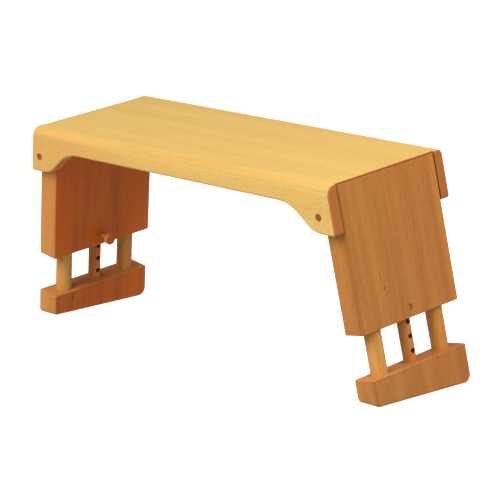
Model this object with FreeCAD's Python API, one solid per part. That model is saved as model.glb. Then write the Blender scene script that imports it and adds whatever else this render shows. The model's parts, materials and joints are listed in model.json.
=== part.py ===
import FreeCAD, Part
import math
import os

# Low wooden seat bench that leans forward, with two folding legs whose feet slide on dowels.
#
# Everything is in millimetres, in two frames.
# Bench frame: origin in the middle of the seat's top surface, +X along the seat, -Y towards the
# front edge, +Z out of the seat. Every piece is drawn in this frame.
# Row frame: the bench standing on the floor. The bench frame is turned about X by seat_tilt, so
# that the front edge is the lower one, then moved so that the floor is z = 0 and the origin is
# under the middle of the whole bench.
#
# Each leg also has coordinates of its own, shared by its board, dowels, foot and peg:
#   down    distance along the leg's slope, from the arris at the end of the seat
#   inset   distance from the leg's outer face, towards the middle of the bench
#   across  the bench's Y
# A side is -1 for the left leg (at -X) and +1 for the right one.

# The bench as a whole
seat_length = 450.0
seat_depth = 169.4
seat_height = 231.3
seat_tilt = math.radians(5.35)
leg_splay = math.radians(9.4)

# Seat panel, between the aprons. Its ends are undercut at 45 degrees.
panel_thickness = 18.0
panel_setback = 0.4
panel_arris = 1.2
undercut_run = 18.0

# Aprons: one board along each long edge, shallow in the middle and deep at the ears. The front
# one (-1) has a rounder top edge than the rear one (1).
apron_thickness = 13.0
ear_height = 50.5
apron_height = 24.5
ear_flat_end = 213.4
ear_radius = 30.0
arch_radius = 45.0
arch_slope = math.radians(38.0)
top_edge_radius = {-1: 10.0, 1: 6.0}
ear_corner_radius = 3.0
apron_arris = 2.6

# Leg boards. The right one's (1) outer front arris is rounder than the left one's (-1).
leg_thickness = 25.5
leg_side_gap = 0.7
board_length = 154.8
board_arris = 1.6
board_front_outer_arris = {-1: 1.6, 1: 4.5}
board_end_arris = 1.2
board_tip_drop = 1.4
stop_gap = 0.65
fold_clearance = 0.4

# Hinge pins, one at each end of each leg's axis
pin_radius = 4.0
pin_length = 37.0
pin_depth = 33.1
pin_inset = {-1: 13.0, 1: 18.4}
pin_recess = 0.3
pin_end_clearance = 1.0

# Dowels that carry the foot, two guides and one with the height holes between them
guide_radius = 9.0
guide_spacing = 91.2
height_radius = 7.0
dowel_top = 93.0
dowel_seat_depth = 18.0
dowel_chamfer = 1.0
bore_top = 45.0
running_clearance = 0.1

# Holes through the middle dowel, and the peg that goes into one of them
peg_down = 143.9
hole_pitch = 15.2
hole_count = 4
hole_radius = 2.8
shank_radius = 2.7
shank_reach = 9.8
shank_tip_clearance = 0.4
knob_radius = 6.7
knob_thickness = 5.5
knob_socket_depth = 4.0
knob_arris = 1.2
plug_recess = 0.7
plug_end_clearance = 0.6

# Foot bars, a little thicker than the leg boards on both faces
foot_top = 201.1
foot_outer_margin = 1.9
foot_inner_margin = 0.55
foot_length = 138.6
foot_front_radius = 5.0
foot_rear_radius = 9.0
foot_arris = 2.6
foot_top_arris = 1.0

# Worked out from the values above
sin_splay = math.sin(leg_splay)
cos_splay = math.cos(leg_splay)
channel_half = seat_depth / 2 - apron_thickness
leg_width = 2 * (channel_half - leg_side_gap)
leg_middle = leg_thickness / 2
panel_end = seat_length / 2 - panel_setback
sides = {"left": -1, "right": 1}
vector = FreeCAD.Vector


def leg_point(side, down, inset, across=0.0):
    """A place given in a leg's own coordinates, in the bench frame."""
    x = seat_length / 2 + down * sin_splay - inset * cos_splay
    z = -down * cos_splay - inset * sin_splay
    return vector(side * x, across, z)


def down_axis(side):
    """Unit vector down the slope of a leg."""
    return vector(side * sin_splay, 0, -cos_splay)


def inset_axis(side):
    """Unit vector from a leg's outer face towards the middle of the bench."""
    return vector(-side * cos_splay, 0, -sin_splay)


def pin_down(side):
    """How far down its leg a hinge pin lies, so that it is pin_depth below the seat's top."""
    return (pin_depth - pin_inset[side] * sin_splay) / cos_splay


def plate(edges, start, thickness):
    """A flat plate from a closed outline in the XZ plane, from y = start, thickness thick."""
    face = Part.Face(Part.Wire(edges))
    face.translate(vector(0, start, 0))
    return face.extrude(vector(0, thickness, 0))


def polygon_edges(points):
    """Straight edges through the points and back to the first one."""
    following = points[1:] + points[:1]
    return [Part.makeLine(a, b) for a, b in zip(points, following)]


def arc_edge(centre, radius, start, end):
    """The shorter arc about a centre in the XZ plane, from start to end."""
    middle = (start - centre) + (end - centre)
    return Part.Arc(start, centre + middle.normalize() * radius, end).toShape()


def edges_where(shape, test):
    """The edges whose every vertex and mid-point pass the test."""
    found = []
    for edge in shape.Edges:
        places = [vertex.Point for vertex in edge.Vertexes]
        places.append(edge.valueAt((edge.FirstParameter + edge.LastParameter) / 2))
        if all(test(place) for place in places):
            found.append(edge)
    return found


def near(a, b):
    """Whether two lengths are the same."""
    return abs(a - b) < 0.001


def rod(radius, start, end, chamfer=0.0):
    """A round rod between two points, with its ends chamfered where a chamfer is given."""
    length = (end - start).Length
    body = Part.makeCylinder(radius, length, start, end - start)
    if not chamfer:
        return body
    rims = [edge for edge in body.Edges if near(edge.Length, 2 * math.pi * radius)]
    return body.makeChamfer(chamfer, rims)


def seat_panel():
    """The seat's middle board, with its ends undercut to leave room for the legs' tops."""
    top_left = vector(-panel_end, 0, 0)
    top_right = vector(panel_end, 0, 0)
    low_right = vector(panel_end - undercut_run, 0, -panel_thickness)
    low_left = vector(undercut_run - panel_end, 0, -panel_thickness)
    edges = polygon_edges([top_left, top_right, low_right, low_left])
    board = plate(edges, -channel_half, 2 * channel_half)

    def at_top_end(place):
        return near(abs(place.x), panel_end) and near(place.z, 0)

    return board.makeFillet(panel_arris, edges_where(board, at_top_end))


def apron_half_outline(side):
    """The lower outline of an apron from its end to its middle, as edges in that order."""
    top = leg_point(side, 0, 0)
    corner = leg_point(side, ear_height / cos_splay, 0)
    corner_reach = ear_corner_radius / math.tan((math.pi / 2 - leg_splay) / 2)
    above_corner = leg_point(side, ear_height / cos_splay - corner_reach, 0)
    beside_corner = vector(corner.x - side * corner_reach, 0, -ear_height)
    corner_centre = vector(beside_corner.x, 0, ear_corner_radius - ear_height)
    rise = ear_radius * (1 - math.cos(arch_slope))
    run = ear_radius * math.sin(arch_slope)
    drop = arch_radius * (1 - math.cos(arch_slope))
    reach = arch_radius * math.sin(arch_slope)
    slope_height = ear_height - apron_height - rise - drop
    arch_start = ear_flat_end - run - slope_height / math.tan(arch_slope) - reach

    flat_end = vector(side * ear_flat_end, 0, -ear_height)
    ear_end = vector(side * (ear_flat_end - run), 0, rise - ear_height)
    slope_end = vector(side * (arch_start + reach), 0, -apron_height - drop)
    arch_end = vector(side * arch_start, 0, -apron_height)
    middle = vector(0, 0, -apron_height)
    ear_centre = vector(side * ear_flat_end, 0, ear_radius - ear_height)
    arch_centre = vector(side * arch_start, 0, -apron_height - arch_radius)
    return [
        Part.makeLine(top, above_corner),
        arc_edge(corner_centre, ear_corner_radius, above_corner, beside_corner),
        Part.makeLine(beside_corner, flat_end),
        arc_edge(ear_centre, ear_radius, flat_end, ear_end),
        Part.makeLine(ear_end, slope_end),
        arc_edge(arch_centre, arch_radius, slope_end, arch_end),
        Part.makeLine(arch_end, middle),
    ]


def apron(front):
    """One apron. front is -1 for the front apron and +1 for the rear one."""
    outer = front * seat_depth / 2
    inner = front * channel_half
    edges = apron_half_outline(1) + apron_half_outline(-1)
    edges.append(Part.makeLine(leg_point(-1, 0, 0), leg_point(1, 0, 0)))
    board = plate(Part.__sortEdges__(edges), min(outer, inner), apron_thickness)

    def along_top(place):
        return near(place.z, 0) and near(place.y, outer)

    top_radius = top_edge_radius[front]
    board = board.makeFillet(top_radius, edges_where(board, along_top))

    def at_ends(place):
        on_end = abs(place.x) - seat_length / 2 + place.z * math.tan(leg_splay)
        return near(on_end, 0) and abs(place.y - outer) < top_radius + 0.01

    def under_outer_face(place):
        return near(place.y, outer) and place.z < -apron_height + 0.01

    outline = edges_where(board, at_ends) + edges_where(board, under_outer_face)
    board = board.makeFillet(apron_arris, outline)
    for side in sides.values():
        pin_centre = leg_point(side, pin_down(side), pin_inset[side])
        start = vector(pin_centre.x, inner, pin_centre.z)
        end = vector(pin_centre.x, outer, pin_centre.z)
        board = board.cut(rod(pin_radius, start, end))
    return board


def hinge_pin(side, front):
    """A hinge pin, glued in its apron and reaching into the edge of the leg board."""
    outer = front * (seat_depth / 2 - pin_recess)
    centre = leg_point(side, pin_down(side), pin_inset[side])
    start = vector(centre.x, outer, centre.z)
    end = vector(centre.x, outer - front * pin_length, centre.z)
    return rod(pin_radius, start, end)


def board_outline(side):
    """A leg board's outline: a blunt tip, a bevel against the panel, a round about the hinge pin."""
    pin = leg_point(side, pin_down(side), pin_inset[side])
    panel_corner = vector(side * (panel_end - undercut_run), 0, -panel_thickness)
    radius = (panel_corner - pin).Length - fold_clearance

    # the bevel is the line z = |x| - bevel_offset, stop_gap away from the panel's undercut
    bevel_offset = panel_end + stop_gap * math.sqrt(2)
    tip_x = (seat_length / 2 + bevel_offset * math.tan(leg_splay)) / (1 + math.tan(leg_splay))
    tip_height = tip_x - bevel_offset - board_tip_drop
    tip_outer = leg_point(side, -tip_height / cos_splay, 0)
    tip_inner = vector(side * (tip_height + bevel_offset), 0, tip_height)
    pin_x = abs(pin.x)
    middle = (pin_x + pin.z + bevel_offset) / 2
    offset = (pin_x - pin.z - bevel_offset) / 2
    bevel_x = middle + math.sqrt(radius ** 2 / 2 - offset ** 2)
    bevel_end = vector(side * bevel_x, 0, bevel_x - bevel_offset)
    rise = math.sqrt(radius ** 2 - (leg_thickness - pin_inset[side]) ** 2)
    round_end = leg_point(side, pin_down(side) - rise, leg_thickness)
    low_inner = leg_point(side, board_length, leg_thickness)
    low_outer = leg_point(side, board_length, 0)
    return [
        Part.makeLine(tip_outer, tip_inner),
        Part.makeLine(tip_inner, bevel_end),
        arc_edge(pin, radius, bevel_end, round_end),
        Part.makeLine(round_end, low_inner),
        Part.makeLine(low_inner, low_outer),
        Part.makeLine(low_outer, tip_outer),
    ]


def leg_board(side):
    """A leg board with its arrises eased, its pin holes, its dowel bores and its peg hole."""
    board = plate(board_outline(side), -leg_width / 2, leg_width)
    axis = down_axis(side)
    origin = leg_point(side, 0, 0)

    def down_of(place):
        return (place - origin).dot(axis)

    def is_long(edge):
        ends = [vertex.Point.y for vertex in edge.Vertexes]
        on_side = near(abs(ends[0]), leg_width / 2) and near(ends[0], ends[-1])
        return on_side and edge.Length > board_length / 2

    def is_front_outer(edge):
        place = edge.Vertexes[0].Point
        return near((place - origin).dot(inset_axis(side)), 0) and place.y < 0

    front_outer = [edge for edge in board.Edges if is_long(edge) and is_front_outer(edge)]
    board = board.makeFillet(board_front_outer_arris[side], front_outer)
    others = [edge for edge in board.Edges if is_long(edge) and not is_front_outer(edge)]
    board = board.makeFillet(board_arris, others)
    low_edges = edges_where(board, lambda place: near(down_of(place), board_length))
    board = board.makeFillet(board_end_arris, low_edges)

    for front in (-1, 1):
        centre = leg_point(side, pin_down(side), pin_inset[side])
        depth = seat_depth / 2 - pin_recess - pin_length - pin_end_clearance
        start = vector(centre.x, front * leg_width / 2, centre.z)
        end = vector(centre.x, front * depth, centre.z)
        board = board.cut(rod(pin_radius + running_clearance, start, end))
        guide_across = front * guide_spacing / 2
        board = board.cut(dowel_bore(side, guide_radius, guide_across))
    board = board.cut(dowel_bore(side, height_radius, 0.0))
    start = leg_point(side, peg_down, 0)
    end = leg_point(side, peg_down, leg_thickness)
    return board.cut(rod(hole_radius, start, end))


def dowel_bore(side, radius, across):
    """The blind bore in a leg board in which one of the foot's dowels slides."""
    start = leg_point(side, board_length, leg_middle, across)
    end = leg_point(side, bore_top, leg_middle, across)
    return rod(radius + running_clearance, start, end)


def foot_dowel(side, radius, across):
    """A dowel glued in the foot bar, as drawn out to its longest."""
    start = leg_point(side, dowel_top, leg_middle, across)
    end = leg_point(side, foot_top + dowel_seat_depth, leg_middle, across)
    return rod(radius, start, end, dowel_chamfer)


def height_dowel(side):
    """The middle dowel, with a row of holes through it for the peg."""
    body = foot_dowel(side, height_radius, 0.0)
    for index in range(hole_count):
        down = peg_down + index * hole_pitch
        start = leg_point(side, down, leg_middle - 2 * height_radius)
        end = leg_point(side, down, leg_middle + 2 * height_radius)
        body = body.cut(rod(hole_radius, start, end))
    return body


def foot_bar(side):
    """A foot bar: square to the leg above, cut level with the floor below."""
    outer_inset = -foot_outer_margin
    inner_inset = leg_thickness + foot_inner_margin
    lowest = (seat_height + foot_length) / cos_splay
    corners = [
        leg_point(side, foot_top, outer_inset),
        leg_point(side, foot_top, inner_inset),
        leg_point(side, lowest, inner_inset),
        leg_point(side, lowest, outer_inset),
    ]
    bar = plate(polygon_edges(corners), -foot_length / 2, foot_length)
    ground = Part.makeBox(4 * seat_length, 4 * seat_length, seat_length)
    ground.translate(vector(-2 * seat_length, -2 * seat_length, -seat_length - seat_height))
    ground.rotate(vector(0, 0, 0), vector(1, 0, 0), -math.degrees(seat_tilt))
    bar = bar.cut(ground)
    axis = down_axis(side)
    origin = leg_point(side, 0, 0)

    def at_end(place, end):
        return near(place.y, end * foot_length / 2)

    def on_top(place):
        return near((place - origin).dot(axis), foot_top)

    def low_end(end):
        return lambda place: at_end(place, end) and row_height(place) < 0.01

    bar = bar.makeFillet(foot_front_radius, edges_where(bar, low_end(-1)))
    bar = bar.makeFillet(foot_rear_radius, edges_where(bar, low_end(1)))
    def is_upright(edge):
        along = abs(edge.tangentAt(edge.FirstParameter).dot(axis))
        return along > 0.999 and near(abs(edge.Vertexes[0].Y), foot_length / 2)

    bar = bar.makeFillet(foot_arris, [edge for edge in bar.Edges if is_upright(edge)])
    bar = bar.makeFillet(foot_top_arris, edges_where(bar, on_top))
    for across in (-guide_spacing / 2, guide_spacing / 2):
        bar = bar.cut(foot_dowel(side, guide_radius, across))
    return bar.cut(foot_dowel(side, height_radius, 0.0))


def row_height(place):
    """Height above the floor of a place in the bench frame."""
    return place.y * math.sin(seat_tilt) + place.z * math.cos(seat_tilt) + seat_height


def peg_shank(side):
    """The peg's shank, drawn back until its tip is just clear of the middle dowel."""
    bore_wall = leg_middle + height_radius + running_clearance
    start = leg_point(side, peg_down, bore_wall + shank_tip_clearance)
    end = leg_point(side, peg_down, leg_thickness + shank_reach + knob_socket_depth)
    return rod(shank_radius, start, end)


def peg_knob(side):
    """The round knob on the peg's shank, with the socket that the shank is glued into."""
    start_inset = leg_thickness + shank_reach
    start = leg_point(side, peg_down, start_inset)
    end = leg_point(side, peg_down, start_inset + knob_thickness)
    knob = Part.makeCylinder(knob_radius, knob_thickness, start, end - start)
    rims = [edge for edge in knob.Edges if near(edge.Length, 2 * math.pi * knob_radius)]
    return knob.makeFillet(knob_arris, rims).cut(peg_shank(side))


def hole_plug(side):
    """The plug that closes the peg hole where it comes out of the leg's outer face."""
    bore_wall = leg_middle - height_radius - running_clearance
    start = leg_point(side, peg_down, plug_recess)
    end = leg_point(side, peg_down, bore_wall - plug_end_clearance)
    return rod(hole_radius, start, end)


def all_pieces():
    """Every piece of the bench in the bench frame, by node name."""
    pieces = {
        "seat_panel": seat_panel(),
        "front_apron": apron(-1),
        "rear_apron": apron(1),
    }
    for word, side in sides.items():
        pieces[word + "_front_hinge_pin"] = hinge_pin(side, -1)
        pieces[word + "_rear_hinge_pin"] = hinge_pin(side, 1)
        pieces[word + "_leg_board"] = leg_board(side)
        pieces[word + "_hole_plug"] = hole_plug(side)
        pieces[word + "_foot_bar"] = foot_bar(side)
        pieces[word + "_front_guide_dowel"] = foot_dowel(side, guide_radius, -guide_spacing / 2)
        pieces[word + "_rear_guide_dowel"] = foot_dowel(side, guide_radius, guide_spacing / 2)
        pieces[word + "_height_dowel"] = height_dowel(side)
        pieces[word + "_peg_shank"] = peg_shank(side)
        pieces[word + "_peg_knob"] = peg_knob(side)
    return pieces


def stand_on_floor(pieces):
    """Turn and move the pieces from the bench frame to the row frame."""
    whole = FreeCAD.BoundBox()
    for shape in pieces.values():
        shape.rotate(vector(0, 0, 0), vector(1, 0, 0), math.degrees(seat_tilt))
        whole.add(shape.optimalBoundingBox(False))
    for shape in pieces.values():
        shape.translate(vector(0, -whole.Center.y, seat_height))
    return whole.Center.y


def main():
    pieces = all_pieces()
    stand_on_floor(pieces)
    os.makedirs("parts", exist_ok=True)
    for name, shape in pieces.items():
        solids = shape.Solids
        if len(solids) != 1 or not shape.isValid():
            raise RuntimeError(name + " is not one sound solid")
        solids[0].exportStep("parts/" + name + ".step")


main()
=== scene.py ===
import json
import math
from collections import namedtuple

import bmesh
import bpy
from bpy.props import FloatProperty, FloatVectorProperty, PointerProperty
from mathutils import Matrix, Vector


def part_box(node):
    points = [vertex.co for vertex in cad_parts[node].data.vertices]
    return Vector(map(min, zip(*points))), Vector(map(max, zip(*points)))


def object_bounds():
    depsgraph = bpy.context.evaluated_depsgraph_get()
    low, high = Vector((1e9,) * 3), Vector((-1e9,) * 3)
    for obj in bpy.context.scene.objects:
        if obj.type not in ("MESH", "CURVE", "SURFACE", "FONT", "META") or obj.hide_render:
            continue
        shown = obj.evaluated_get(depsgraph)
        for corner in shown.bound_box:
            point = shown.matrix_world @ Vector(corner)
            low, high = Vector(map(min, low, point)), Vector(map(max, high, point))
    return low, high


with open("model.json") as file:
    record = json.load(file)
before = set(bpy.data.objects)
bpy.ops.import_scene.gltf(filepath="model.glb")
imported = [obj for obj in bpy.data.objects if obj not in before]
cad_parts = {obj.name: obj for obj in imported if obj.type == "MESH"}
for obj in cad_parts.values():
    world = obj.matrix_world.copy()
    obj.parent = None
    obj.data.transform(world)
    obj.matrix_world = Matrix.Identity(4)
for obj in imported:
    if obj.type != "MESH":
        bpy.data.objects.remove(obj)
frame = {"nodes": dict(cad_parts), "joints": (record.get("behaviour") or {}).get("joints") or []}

bl_info = {
    "name": "Folding seat bench",
    "version": (1, 0, 0),
    "blender": (4, 5, 0),
    "location": "3D Viewport > Sidebar > Bench",
    "description": "Gives a low folding seat bench its woods and sets up its studio",
    "category": "Object",
}

CAD_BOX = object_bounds()
MIDDLE_HEIGHT = (CAD_BOX[0].z + CAD_BOX[1].z) / 2
SIDES = ("left", "right")

# How strongly the oiled surface shines, and how far its fibres stand up
OIL_SHINE = 0.2
FIBRE_RELIEF = 0.00005

# How far from the seat's middle the slots for the legs' tops begin, and the height dowels' radius
SLOT_START = 0.2
HEIGHT_DOWEL_RADIUS = 0.007

# Half the width of the floor, and how far under the feet it lies
FLOOR_REACH = 9.0
FLOOR_DROP = 0.0003


def joint_axis(name):
    """The axis of one of the frame's joints, as a unit vector."""
    for joint in frame["joints"]:
        if joint["name"] == name:
            return Vector(joint["axis"]).normalized()
    raise ValueError("the frame has no joint named " + name)


# The bench's own directions: its depth axis leans with the seat
DEPTH_AXIS = joint_axis("right_leg_fold")
LENGTH_AXIS = Vector((1, 0, 0))

# A redder band down a leg: its middle across the leg, half its width, and the width of its soft edges
Band = namedtuple("Band", "middle half_width softness")

# A small dark mark on a leg (checks and knots, and one painted shadow): its place across the leg and down
# it, and half its width and length
Mark = namedtuple("Mark", "across down half_width half_length")

# The plank that a leg and its foot are cut from: where the tree's heart was, how much brighter its colours
# are painted as painted light, how much painted shade darkens its long rounded edges, and the band and
# marks, placed from the height dowel's middle
Plank = namedtuple("Plank", "heart brightness worn band marks")

PLANKS = {
    # painted light: the left leg's colours are painted brighter, as it stands in brighter light
    "left": Plank(
        heart=(0.03, 0.16), brightness=1.15, worn=0.0, band=Band(0.01, 0.02, 0.03),
        marks=[Mark(-0.0435, 0.0534, 0.0015, 0.0065)]
    ),
    "right": Plank(
        heart=(-0.02, 0.19), brightness=1.0, worn=1.0, band=Band(0.03, 0.016, 0.03),
        marks=[
            Mark(-0.030, -0.040, 0.0013, 0.0026),
            Mark(-0.0335, -0.052, 0.0006, 0.008),
            # painted shadow: a dark crescent round the recessed plug
            Mark(0.0009, -0.0122, 0.0044, 0.0046),
        ]
    ),
}


def tone(red, green, blue):
    """A colour picked on screen, from 0 to 255, as the linear colour that shaders use."""
    def linear(level):
        part = level / 255
        if part <= 0.04045:
            return part / 12.92
        return ((part + 0.055) / 1.055) ** 2.4

    return (linear(red), linear(green), linear(blue))


def colour_property(name, description, default):
    return FloatVectorProperty(
        name=name, description=description, subtype="COLOR", size=3, min=0, max=1, default=default
    )


def length_property(name, description, default):
    return FloatProperty(
        name=name, description=description, subtype="DISTANCE", unit="LENGTH", min=0, default=default
    )


def angle_property(name, description, degrees):
    return FloatProperty(
        name=name, description=description, subtype="ANGLE", unit="ROTATION",
        default=math.radians(degrees)
    )


def power_property(name, description, default):
    return FloatProperty(name=name, description=description, unit="POWER", min=0, default=default)


def share_property(name, description, default):
    return FloatProperty(
        name=name, description=description, subtype="FACTOR", min=0, max=1, default=default
    )


class BenchWoods(bpy.types.PropertyGroup):
    """Colours of the bench's woods, and the sizes of their figure."""

    seat_pale: colour_property("Seat, pale", "Pale wood of the seat and aprons", tone(222, 184, 103))
    seat_deep: colour_property("Seat, deep", "Darker streaks of the seat", tone(211, 166, 86))
    seat_warm: colour_property("Seat, warm", "Warmer wood at the front's left end", tone(217, 168, 91))
    seat_end: colour_property("Seat, end grain", "End grain of the aprons", tone(174, 105, 49))
    leg_pale: colour_property("Leg, pale", "Pale wood of the legs and feet", tone(197, 134, 67))
    leg_deep: colour_property("Leg, deep", "Darker streaks of the legs and feet", tone(179, 113, 51))
    leg_red: colour_property("Leg, red", "Red heartwood of the legs", tone(176, 94, 40))
    # Painted shade: the legs' inner faces, shaded under the seat, are painted this warmer, darker colour; it
    # is also the pegs' end grain
    leg_shade_and_peg_end: colour_property("Leg, inner shade and peg ends", "Wood of the legs' inner faces", tone(208, 100, 14))
    leg_end: colour_property("Leg, end grain", "End grain of the legs and feet", tone(193, 127, 66))
    # Also painted shade: the shadow round the right plug, and the darker streaks over the inner faces'
    # painted shade
    leg_check_and_shadow: colour_property("Leg, check", "Small dark checks and knots in the legs", tone(112, 54, 20))
    dowel_pale: colour_property("Dowel, pale", "Pale wood of the front dowels", tone(213, 160, 88))
    dowel_deep: colour_property("Dowel, deep", "Deeper wood of the dowels and pegs", tone(204, 142, 67))
    dowel_red: colour_property("Dowel, red", "Redder wood of the dowels and pegs", tone(186, 112, 51))
    pin_pale: colour_property("Pin, pale", "Wood of the hinge pins", tone(174, 128, 56))
    pin_deep: colour_property("Pin, deep", "Rings in the hinge pins' ends", tone(132, 88, 34))
    # Painted shade: the dark walls of the height holes and of the legs' slots
    bore_shade: colour_property("Bore", "Dark walls of the height holes and the legs' slots", tone(150, 66, 30))
    ring_spacing: length_property("Ring spacing", "Distance between growth rings", 0.0034)
    fleck_length: length_property("Fleck length", "Length of the wood's ray flecks", 0.0055)
    fleck_width: length_property("Fleck width", "Width of the wood's ray flecks", 0.0008)
    roughness: share_property("Roughness", "Roughness of the oiled surface", 0.42)


class BenchStage(bpy.types.PropertyGroup):
    """The camera and the lights of the bench's studio."""

    turn: angle_property("Turn", "Camera's angle round the bench", 45.93)
    lift: angle_property("Lift", "Camera's angle above the horizon", 13.32)
    distance: length_property("Distance", "From the camera to the point that it looks at", 2.6343)
    aim_height: length_property("Aim height", "Height of the point that the camera looks at", 0.1138)
    aim_side: length_property("Aim side", "How far to the right the camera looks", 0.03089)
    focal_length: FloatProperty(
        name="Focal length", description="Focal length of the lens in millimetres", unit="CAMERA",
        min=1, default=179.08
    )
    light_distance: length_property("Light distance", "From each light to the bench's middle", 2.2)
    light_size: length_property("Light size", "Width and height of each light", 1.3)
    key_lift: angle_property("Key lift", "Angle above the horizon of the light in front", 35)
    key_power: power_property("Key power", "Power of the light in front", 45)
    side_turn: angle_property("Side turn", "Angle round the bench of the light at the right", 88)
    side_lift: angle_property("Side lift", "Angle above the horizon of the light at the right", 48)
    side_power: power_property("Side power", "Power of the light at the right", 36)
    fill_above: share_property("Fill above", "Brightness of the room above the bench", 0.25)
    fill_below: share_property("Fill below", "Brightness of the room below the horizon", 0.7)
    floor_glow: share_property("Floor", "How far the floor shows white by itself", 0.9)


class Number:
    """A number that varies over a surface. Arithmetic on it adds Math nodes to its material."""

    def __init__(self, recipe, socket):
        self.recipe = recipe
        self.socket = socket

    def __add__(self, other):
        return self.recipe.maths("ADD", self, other)

    def __sub__(self, other):
        return self.recipe.maths("SUBTRACT", self, other)

    def __rsub__(self, other):
        return self.recipe.maths("SUBTRACT", other, self)

    def __mul__(self, other):
        return self.recipe.maths("MULTIPLY", self, other)

    def __truediv__(self, other):
        return self.recipe.maths("DIVIDE", self, other)

    def __rtruediv__(self, other):
        return self.recipe.maths("DIVIDE", other, self)

    def __abs__(self):
        return self.recipe.maths("ABSOLUTE", self)

    __radd__ = __add__
    __rmul__ = __mul__


class Recipe:
    """The nodes of one material or world."""

    def __init__(self, owner):
        owner.use_nodes = True
        self.owner = owner
        self.nodes = owner.node_tree.nodes
        self.links = owner.node_tree.links
        self.nodes.clear()

    def add(self, kind, settings, sockets):
        """Adds a node of a kind: first its settings, then the values or links of its inputs."""
        node = self.nodes.new(kind)
        for key, value in settings.items():
            setattr(node, key, value)
        for key, value in sockets.items():
            if isinstance(value, Number):
                value = value.socket
            if isinstance(value, bpy.types.NodeSocket):
                self.links.new(value, node.inputs[key])
            else:
                node.inputs[key].default_value = value
        return node

    def maths(self, operation, first, second=0.0):
        """The result of one Math node on one or two numbers."""
        node = self.add("ShaderNodeMath", {"operation": operation}, {0: first, 1: second})
        return Number(self, node.outputs[0])

    def distance(self, first, second):
        """How far off a place is, from how far off it is along each of two square directions."""
        return self.maths("SQRT", first * first + second * second)

    def smooth(self, value, zero_at, one_at):
        """A smooth step from 0, where the value is zero_at or beyond, to 1, where it is one_at."""
        node = self.add(
            "ShaderNodeMapRange", {"interpolation_type": "SMOOTHSTEP"},
            {"Value": value, "From Min": zero_at, "From Max": one_at}
        )
        return Number(self, node.outputs["Result"])

    def vector(self, x, y, z):
        return self.add("ShaderNodeCombineXYZ", {}, {0: x, 1: y, 2: z}).outputs[0]

    def noise(self, vector, scale, detail=2.0, roughness=0.5):
        """Soft noise from 0 to 1."""
        node = self.add(
            "ShaderNodeTexNoise", {},
            {"Vector": vector, "Scale": scale, "Detail": detail, "Roughness": roughness}
        )
        return Number(self, node.outputs[0])

    def cells(self, vector):
        """Distance from the nearest of many scattered points, and a random number for each."""
        node = self.add("ShaderNodeTexVoronoi", {}, {"Vector": vector, "Scale": 1.0})
        parts = self.add("ShaderNodeSeparateColor", {}, {0: node.outputs["Color"]})
        return Number(self, node.outputs["Distance"]), Number(self, parts.outputs[0])

    def mix(self, factor, first, second, blend="MIX"):
        """A colour between two colours."""
        node = self.add(
            "ShaderNodeMix", {"data_type": "RGBA", "blend_type": blend},
            {0: factor, 6: as_colour(first), 7: as_colour(second)}
        )
        return node.outputs[2]

    def finish(self, colour, roughness, height):
        """Ends a wood in its shader, with a bump for its fibres."""
        bump = self.add(
            "ShaderNodeBump", {}, {"Height": height, "Strength": 1.0, "Distance": FIBRE_RELIEF}
        )
        shader = self.add(
            "ShaderNodeBsdfPrincipled", {},
            {"Base Color": colour, "Roughness": roughness, "Normal": bump.outputs[0],
             "Specular IOR Level": OIL_SHINE}
        )
        self.add("ShaderNodeOutputMaterial", {}, {"Surface": shader.outputs[0]})
        return self.owner


def as_colour(value):
    """A plain colour with its alpha, or a socket as it is."""
    if isinstance(value, bpy.types.NodeSocket):
        return value
    return (value[0], value[1], value[2], 1.0)


def scaled(colour, share):
    """A colour made brighter or darker."""
    return tuple(channel * share for channel in colour)


class Board:
    """How a piece of wood was cut: its axes in the row frame, and where the tree's heart was.

    wander is how far the heart strays along the tree, and end_depth how strongly end grain shows.
    """

    def __init__(self, grain, across, heart, wander=0.012, end_depth=1.0):
        self.grain = grain.normalized()
        self.across = across.normalized()
        self.deep = self.grain.cross(self.across)
        self.heart = heart
        self.wander = wander
        self.end_depth = end_depth

    def turn(self):
        """Rotation from the row frame to across, deep and grain."""
        return Matrix((self.across, self.deep, self.grain)).to_euler()


class Figure:
    """How strongly each part of the figure shows, and how much painted shade darkens the rounded edges."""

    def __init__(self, bands=1.0, rings=0.08, flecks=0.22, fibres=0.08, shaded_arrises=0.0):
        self.bands = bands
        self.rings = rings
        self.flecks = flecks
        self.fibres = fibres
        self.shaded_arrises = shaded_arrises


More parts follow.
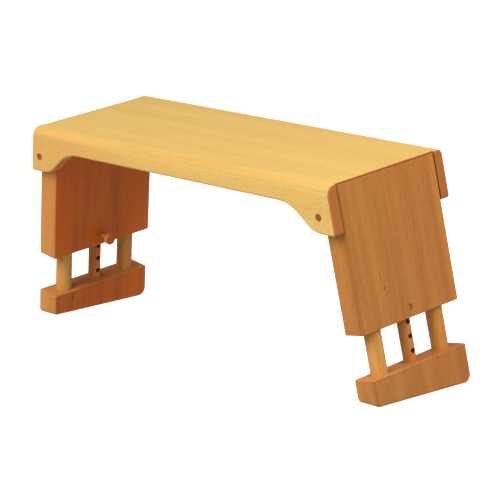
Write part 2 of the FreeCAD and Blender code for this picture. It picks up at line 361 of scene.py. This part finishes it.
class Timber:
    """The first nodes of a wood: a place's coordinates in the board, and the figure there.

    Broadest first, the figure is bands, streaks, threads and fibres, with the dark late wood of each
    ring and the short ray flecks over them.
    """

    def __init__(self, recipe, board):
        woods = bpy.context.scene.bench_woods
        self.recipe = recipe
        coordinates = recipe.add("ShaderNodeTexCoord", {}, {})
        turned = recipe.add(
            "ShaderNodeMapping", {},
            {"Vector": coordinates.outputs["Object"], "Rotation": board.turn()}
        )
        parts = recipe.add("ShaderNodeSeparateXYZ", {}, {0: turned.outputs[0]})
        self.across, self.deep, self.along = (Number(recipe, parts.outputs[i]) for i in range(3))

        # the heart wanders a little along the tree, which bends the rings into long tongues
        slow = self.stretched(0.22)
        self.drift = recipe.noise(slow, scale=9.0, detail=3.0) - 0.5
        from_heart = recipe.distance(self.across - board.heart[0], self.deep - board.heart[1])
        radius = from_heart + self.drift * board.wander * 2
        rings = radius / woods.ring_spacing + recipe.noise(slow, scale=60.0) * 0.7

        # late wood darkens through each ring and ends sharply, and is faint in places
        share = recipe.maths("FRACT", rings)
        faint = recipe.noise(self.stretched(0.1), scale=55.0)
        late = recipe.smooth(share, 0.2, 0.9) * recipe.smooth(share, 1.0, 0.9)
        self.late_wood = late * recipe.smooth(faint, 0.4, 0.62)

        self.bands = recipe.noise(recipe.vector(rings * 0.16, self.along * 1.1, 0.0), scale=1.0)
        self.streaks = recipe.noise(self.stretched(0.06), scale=60.0, detail=3.0)
        self.threads = recipe.noise(self.stretched(0.035), scale=330.0)
        self.fibres = recipe.noise(self.stretched(0.03), scale=1500.0, roughness=0.6)

        width = woods.fleck_width
        place = recipe.vector(self.across / width, self.deep / width, self.along / woods.fleck_length)
        from_fleck, chance = recipe.cells(place)
        self.flecks = recipe.smooth(from_fleck, 0.5, 0.15) * recipe.smooth(chance, 0.5, 0.9)

        self.normal = coordinates.outputs["Normal"]
        end_on = abs(self.facing(board.grain))
        self.end_grain = recipe.smooth(end_on, 0.25, 0.8) * board.end_depth

    def facing(self, axis):
        """1 where the surface faces along an axis, 0 where it lies along it, -1 where it faces back."""
        product = self.recipe.add(
            "ShaderNodeVectorMath", {"operation": "DOT_PRODUCT"}, {0: self.normal, 1: axis}
        )
        return Number(self.recipe, product.outputs["Value"])

    def spot(self, across, along, half_width, half_length):
        """1 in the middle of a small long mark at a place on the board, 0 beyond its edge."""
        away = self.recipe.distance(
            (self.across - across) / half_width, (self.along - along) / half_length
        )
        return self.recipe.smooth(away, 1.0, 0.35)

    def stretched(self, share):
        """A place's coordinates with its distance along the grain shrunk to a share of itself."""
        return self.recipe.vector(self.across, self.deep, self.along * share)


def wood(name, board, pale, deep, end, figure=Figure(), special=None):
    """Oiled beech: growth rings about the tree's heart, soft bands, ray flecks and fine fibres.

    special is a function that changes the colour in places, given the recipe, timber and colour.
    """
    woods = bpy.context.scene.bench_woods
    recipe = Recipe(bpy.data.materials.new(name))
    timber = Timber(recipe, board)
    mixed = timber.bands * 0.5 + timber.streaks * 0.35 + timber.threads * 0.15
    colour = recipe.mix(recipe.smooth(mixed, 0.36, 0.64) * figure.bands, pale, deep)
    # painted shade: the rounded edges are darkened toward the deep colour
    if figure.shaded_arrises:
        rounded = abs(timber.facing(board.across) * timber.facing(board.deep))
        share = recipe.smooth(rounded, 0.1, 0.4) * figure.shaded_arrises
        colour = recipe.mix(share, colour, scaled(deep, 0.8))
    colour = recipe.mix(timber.end_grain, colour, end)
    if special is not None:
        colour = special(recipe, timber, colour)

    # the darker figure is warmer too, so green is shaded twice and blue three times
    shade = 1.0 - timber.late_wood * figure.rings - timber.flecks * figure.flecks
    shade = shade * (1.0 - figure.fibres / 2 + timber.fibres * figure.fibres)
    darker = recipe.vector(shade, shade * shade, shade * shade * shade)
    colour = recipe.mix(1.0, colour, darker, "MULTIPLY")

    roughness = woods.roughness + timber.fibres * 0.12 - 0.06 + timber.end_grain * 0.12
    height = timber.fibres * 0.5 - timber.flecks * 0.5 - timber.late_wood * 0.3
    return recipe.finish(colour, roughness, height)


def give(node, material):
    """Gives a CAD node one material."""
    slots = frame["nodes"][node].data.materials
    slots.clear()
    slots.append(material)


def node_middle(node):
    """The middle of a CAD node's box."""
    low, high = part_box(node)
    return (low + high) / 2


def down_leg(word):
    """Down the slope of the left or right leg."""
    return -joint_axis(word + "_foot_slide")


def into_leg(word):
    """Square into the left or right leg from its outer face."""
    return joint_axis(word + "_peg_slide")


def seat_wood(woods):
    """Pale wood along the seat, warmer at the front's left end, with painted shade on its rounded edges and
    in the legs' slots.
    """
    board = Board(LENGTH_AXIS, DEPTH_AXIS, heart=(-0.035, 0.14))
    figure = Figure(bands=0.5, rings=0.03, flecks=0.14, fibres=0.06, shaded_arrises=0.5)

    def special(recipe, timber, colour):
        front = recipe.smooth(timber.facing(DEPTH_AXIS), -0.4, -0.9)
        left = recipe.smooth(timber.along, -0.02, -0.2)
        colour = recipe.mix(left * front, colour, woods.seat_warm)
        # painted shade: the slots' walls, the aprons' inner sides near the seat's ends, are painted dark
        end = recipe.smooth(abs(timber.along), SLOT_START - 0.004, SLOT_START)
        slot_shade = recipe.smooth(timber.facing(DEPTH_AXIS) * timber.across, -0.03, -0.06)
        return recipe.mix(end * slot_shade, colour, woods.bore_shade)

    return wood(
        "seat_wood", board, woods.seat_pale, woods.seat_deep, woods.seat_end, figure, special
    )


def pin_wood(node, woods):
    """Dark wood with its grain along a hinge pin, whose rings show in the pin's end."""
    board = Board(DEPTH_AXIS, LENGTH_AXIS, heart=(node_middle(node).x, 0.19), wander=0.002)
    return wood(
        node + "_wood", board, woods.pin_pale, woods.pin_deep, woods.pin_deep, Figure(rings=0.3)
    )


def leg_wood(word, woods):
    """Red-brown wood down a leg, with a redder band and dark marks, and painted light and shade: brighter
    colours on the left leg, a warmer, darker inner side, darker rounded edges and a shadow round the right
    plug.
    """
    plank = PLANKS[word]
    board = Board(down_leg(word), DEPTH_AXIS, plank.heart, end_depth=0.7)
    figure = Figure(rings=0.06, flecks=0.16, shaded_arrises=plank.worn)
    dowel = node_middle(word + "_height_dowel")
    middle = dowel.dot(board.across)
    height = dowel.dot(board.grain)

    def special(recipe, timber, colour):
        band = plank.band
        from_band = abs(timber.across - band.middle - middle + timber.drift * 0.012)
        share = recipe.smooth(from_band, band.half_width + band.softness, band.half_width)
        colour = recipe.mix(share * (0.15 + timber.streaks * 0.35), colour, woods.leg_red)
        # painted shade: the inner face, in shade under the seat, is painted warmer and darker, with darker
        # streaks over it
        inner = recipe.smooth(timber.facing(into_leg(word)), 0.8, 0.99)
        colour = recipe.mix(inner * (0.6 + timber.streaks * 0.6), colour, woods.leg_shade_and_peg_end)
        streak = recipe.smooth(timber.streaks, 0.52, 0.38)
        colour = recipe.mix(inner * streak * 0.2, colour, woods.leg_check_and_shadow)
        # the marks are checks and knots, and on the right leg a painted shadow round the recessed plug
        for mark in plank.marks:
            spot = timber.spot(
                mark.across + middle, mark.down + height, mark.half_width, mark.half_length
            )
            colour = recipe.mix(spot * 0.85, colour, woods.leg_check_and_shadow)
        return colour

    # painted light: the plank's colours are scaled by its painted brightness
    pale, deep, end = (
        scaled(colour, plank.brightness) for colour in (woods.leg_pale, woods.leg_deep, woods.leg_end)
    )
    return wood(word + "_leg_wood", board, pale, deep, end, figure, special)


def dowel_woods(word, woods):
    """Yellower wood for a foot's front dowel, and darker, redder wood for its other two, partly painted
    shade for their place behind the front dowel.

    The redder wood is painted dark within the height dowel's surface: painted shade on its holes' walls.
    """
    board = Board(down_leg(word), DEPTH_AXIS, heart=(0.06, 0.09), wander=0.006)
    dowel = node_middle(word + "_height_dowel")
    middle = dowel.dot(board.across)
    depth = dowel.dot(board.deep)

    def special(recipe, timber, colour):
        # painted shade: the walls of the height dowel's holes are painted dark
        from_axis = recipe.distance(timber.across - middle, timber.deep - depth)
        inside = recipe.smooth(from_axis, HEIGHT_DOWEL_RADIUS - 0.0001, HEIGHT_DOWEL_RADIUS - 0.0008)
        return recipe.mix(inside, colour, woods.bore_shade)

    front = wood(
        word + "_front_dowel_wood", board, woods.dowel_pale, woods.dowel_deep, woods.leg_deep
    )
    shaded_others = wood(
        word + "_dowel_wood", board, woods.dowel_deep, woods.dowel_red, woods.leg_deep,
        special=special
    )
    return front, shaded_others


def peg_woods(word, woods):
    """Wood with its grain through the leg, for its peg and for the plug opposite."""
    board = Board(into_leg(word), DEPTH_AXIS, heart=(0.004, 0.03), wander=0.002)
    peg = wood(word + "_peg_wood", board, woods.dowel_deep, woods.dowel_red, woods.leg_shade_and_peg_end)
    plug = wood(word + "_plug_wood", board, woods.leg_pale, woods.pin_pale, woods.leg_deep)
    return peg, plug


class BENCH_OT_seat(bpy.types.Operator):
    """Gives the seat panel and the two aprons their pale wood, with the grain along the seat"""

    bl_idname = "bench.seat"
    bl_label = "Finish the seat"

    def execute(self, context):
        material = seat_wood(context.scene.bench_woods)
        for node in ("seat_panel", "front_apron", "rear_apron"):
            give(node, material)
        return {"FINISHED"}


class BENCH_OT_hinge_pins(bpy.types.Operator):
    """Gives the hinge pins their dark wood, which shows as end grain in the aprons"""

    bl_idname = "bench.hinge_pins"
    bl_label = "Finish the hinge pins"

    def execute(self, context):
        for word in SIDES:
            for end in ("front", "rear"):
                node = word + "_" + end + "_hinge_pin"
                give(node, pin_wood(node, context.scene.bench_woods))
        return {"FINISHED"}


class BENCH_OT_legs(bpy.types.Operator):
    """Gives each leg board, and the foot bar cut from the same plank, one run of red-brown wood"""

    bl_idname = "bench.legs"
    bl_label = "Finish the legs and feet"

    def execute(self, context):
        for word in SIDES:
            material = leg_wood(word, context.scene.bench_woods)
            give(word + "_leg_board", material)
            give(word + "_foot_bar", material)
        return {"FINISHED"}


class BENCH_OT_dowels(bpy.types.Operator):
    """Gives the feet's dowels a yellower wood with its grain along them, with painted shade in the holes and
    on the middle and rear dowels
    """

    bl_idname = "bench.dowels"
    bl_label = "Finish the dowels"

    def execute(self, context):
        for word in SIDES:
            front, shaded_others = dowel_woods(word, context.scene.bench_woods)
            give(word + "_front_guide_dowel", front)
            give(word + "_rear_guide_dowel", shaded_others)
            give(word + "_height_dowel", shaded_others)
        return {"FINISHED"}


class BENCH_OT_pegs(bpy.types.Operator):
    """Gives the pegs and the plugs opposite them wood with its grain through the leg"""

    bl_idname = "bench.pegs"
    bl_label = "Finish the pegs and plugs"

    def execute(self, context):
        for word in SIDES:
            peg, plug = peg_woods(word, context.scene.bench_woods)
            give(word + "_peg_shank", peg)
            give(word + "_peg_knob", peg)
            give(word + "_hole_plug", plug)
        return {"FINISHED"}


def link_new(name, data):
    """A new object in the scene."""
    made = bpy.data.objects.new(name, data)
    bpy.context.scene.collection.objects.link(made)
    return made


def direction(turn, lift):
    """Unit vector from the bench, turn round it from its front and lift above the horizon."""
    flat = math.cos(lift)
    return Vector((math.sin(turn) * flat, -math.cos(turn) * flat, math.sin(lift)))


def aim_back(thing, target, back, distance):
    """Puts a camera or light at a distance from a target, looking back at it."""
    thing.location = target + back * distance
    thing.rotation_mode = "QUATERNION"
    thing.rotation_quaternion = (-back).to_track_quat("-Z", "Y")


def add_floor(stage):
    """A wide pale floor just under the feet, which lights nothing but shows white by itself."""
    shape = bmesh.new()
    bmesh.ops.create_grid(shape, x_segments=1, y_segments=1, size=FLOOR_REACH)
    bmesh.ops.translate(shape, verts=shape.verts, vec=(0, 0, -FLOOR_DROP))
    mesh = bpy.data.meshes.new("floor")
    shape.to_mesh(mesh)
    shape.free()
    recipe = Recipe(bpy.data.materials.new("pale_floor"))
    place = recipe.add("ShaderNodeTexCoord", {}, {}).outputs["Object"]
    mottle = recipe.noise(place, scale=3.0)
    colour = recipe.mix(mottle, (0.96, 0.96, 0.96), (0.98, 0.98, 0.98))
    shader = recipe.add(
        "ShaderNodeBsdfPrincipled", {},
        {"Base Color": colour, "Roughness": 0.9, "Emission Color": (1, 1, 1, 1),
         "Emission Strength": stage.floor_glow}
    )
    recipe.add("ShaderNodeOutputMaterial", {}, {"Surface": shader.outputs[0]})
    mesh.materials.append(recipe.owner)
    floor = link_new("floor", mesh)
    floor.visible_diffuse = False
    floor.visible_glossy = False


def add_light(stage, name, turn, lift, power):
    """A square soft light aimed at the middle of the bench from an angle round it and above it."""
    data = bpy.data.lights.new(name, "AREA")
    data.shape = "SQUARE"
    data.size = stage.light_size
    data.energy = power
    middle = Vector((0, 0, MIDDLE_HEIGHT))
    aim_back(link_new(name, data), middle, direction(turn, lift), stage.light_distance)


def add_lights(stage):
    """One light in front of the bench, and a higher one at its right."""
    add_light(stage, "key_light", 0.0, stage.key_lift, stage.key_power)
    add_light(stage, "side_light", stage.side_turn, stage.side_lift, stage.side_power)


def add_camera(stage):
    """A camera with a long lens, aimed near the middle of the bench."""
    data = bpy.data.cameras.new("camera")
    data.lens = stage.focal_length
    camera = link_new("camera", data)
    target = Vector((stage.aim_side, node_middle("seat_panel").y, stage.aim_height))
    aim_back(camera, target, direction(stage.turn, stage.lift), stage.distance)
    bpy.context.scene.camera = camera


def add_room(stage):
    """A plain room without colour, whose brightness changes smoothly just above the horizon."""
    recipe = Recipe(bpy.data.worlds.new("room"))
    facing = recipe.add("ShaderNodeTexCoord", {}, {}).outputs["Generated"]
    height = Number(recipe, recipe.add("ShaderNodeSeparateXYZ", {}, {0: facing}).outputs[2])
    share = recipe.smooth(height, -0.05, 0.3)
    strength = share * (stage.fill_above - stage.fill_below) + stage.fill_below
    background = recipe.add("ShaderNodeBackground", {}, {"Strength": strength})
    recipe.add("ShaderNodeOutputWorld", {}, {"Surface": background.outputs[0]})
    bpy.context.scene.world = recipe.owner


class BENCH_OT_stage(bpy.types.Operator):
    """Builds the floor, the lights and the camera round the bench"""

    bl_idname = "bench.stage"
    bl_label = "Set the stage"

    def execute(self, context):
        stage = context.scene.bench_stage
        add_floor(stage)
        add_lights(stage)
        add_camera(stage)
        add_room(stage)
        context.scene.view_settings.view_transform = "Standard"
        return {"FINISHED"}


class BENCH_PT_panel(bpy.types.Panel):
    """Lists the steps that finish the bench, and its settings"""

    bl_idname = "BENCH_PT_panel"
    bl_label = "Folding seat bench"
    bl_space_type = "VIEW_3D"
    bl_region_type = "UI"
    bl_category = "Bench"

    def draw(self, context):
        for step in STEPS:
            self.layout.operator(step.bl_idname)
        for group in (context.scene.bench_woods, context.scene.bench_stage):
            box = self.layout.box()
            for name in type(group).__annotations__:
                box.prop(group, name)


STEPS = (
    BENCH_OT_seat,
    BENCH_OT_hinge_pins,
    BENCH_OT_legs,
    BENCH_OT_dowels,
    BENCH_OT_pegs,
    BENCH_OT_stage,
)
CLASSES = (BenchWoods, BenchStage) + STEPS + (BENCH_PT_panel,)


def register():
    for item in CLASSES:
        bpy.utils.register_class(item)
    bpy.types.Scene.bench_woods = PointerProperty(type=BenchWoods)
    bpy.types.Scene.bench_stage = PointerProperty(type=BenchStage)


def unregister():
    del bpy.types.Scene.bench_stage
    del bpy.types.Scene.bench_woods
    for item in reversed(CLASSES):
        bpy.utils.unregister_class(item)


def main():
    """Runs the bench's steps in order."""
    register()
    bpy.ops.bench.seat()
    bpy.ops.bench.hinge_pins()
    bpy.ops.bench.legs()
    bpy.ops.bench.dowels()
    bpy.ops.bench.pegs()
    bpy.ops.bench.stage()


if __name__ == "__main__":
    main()
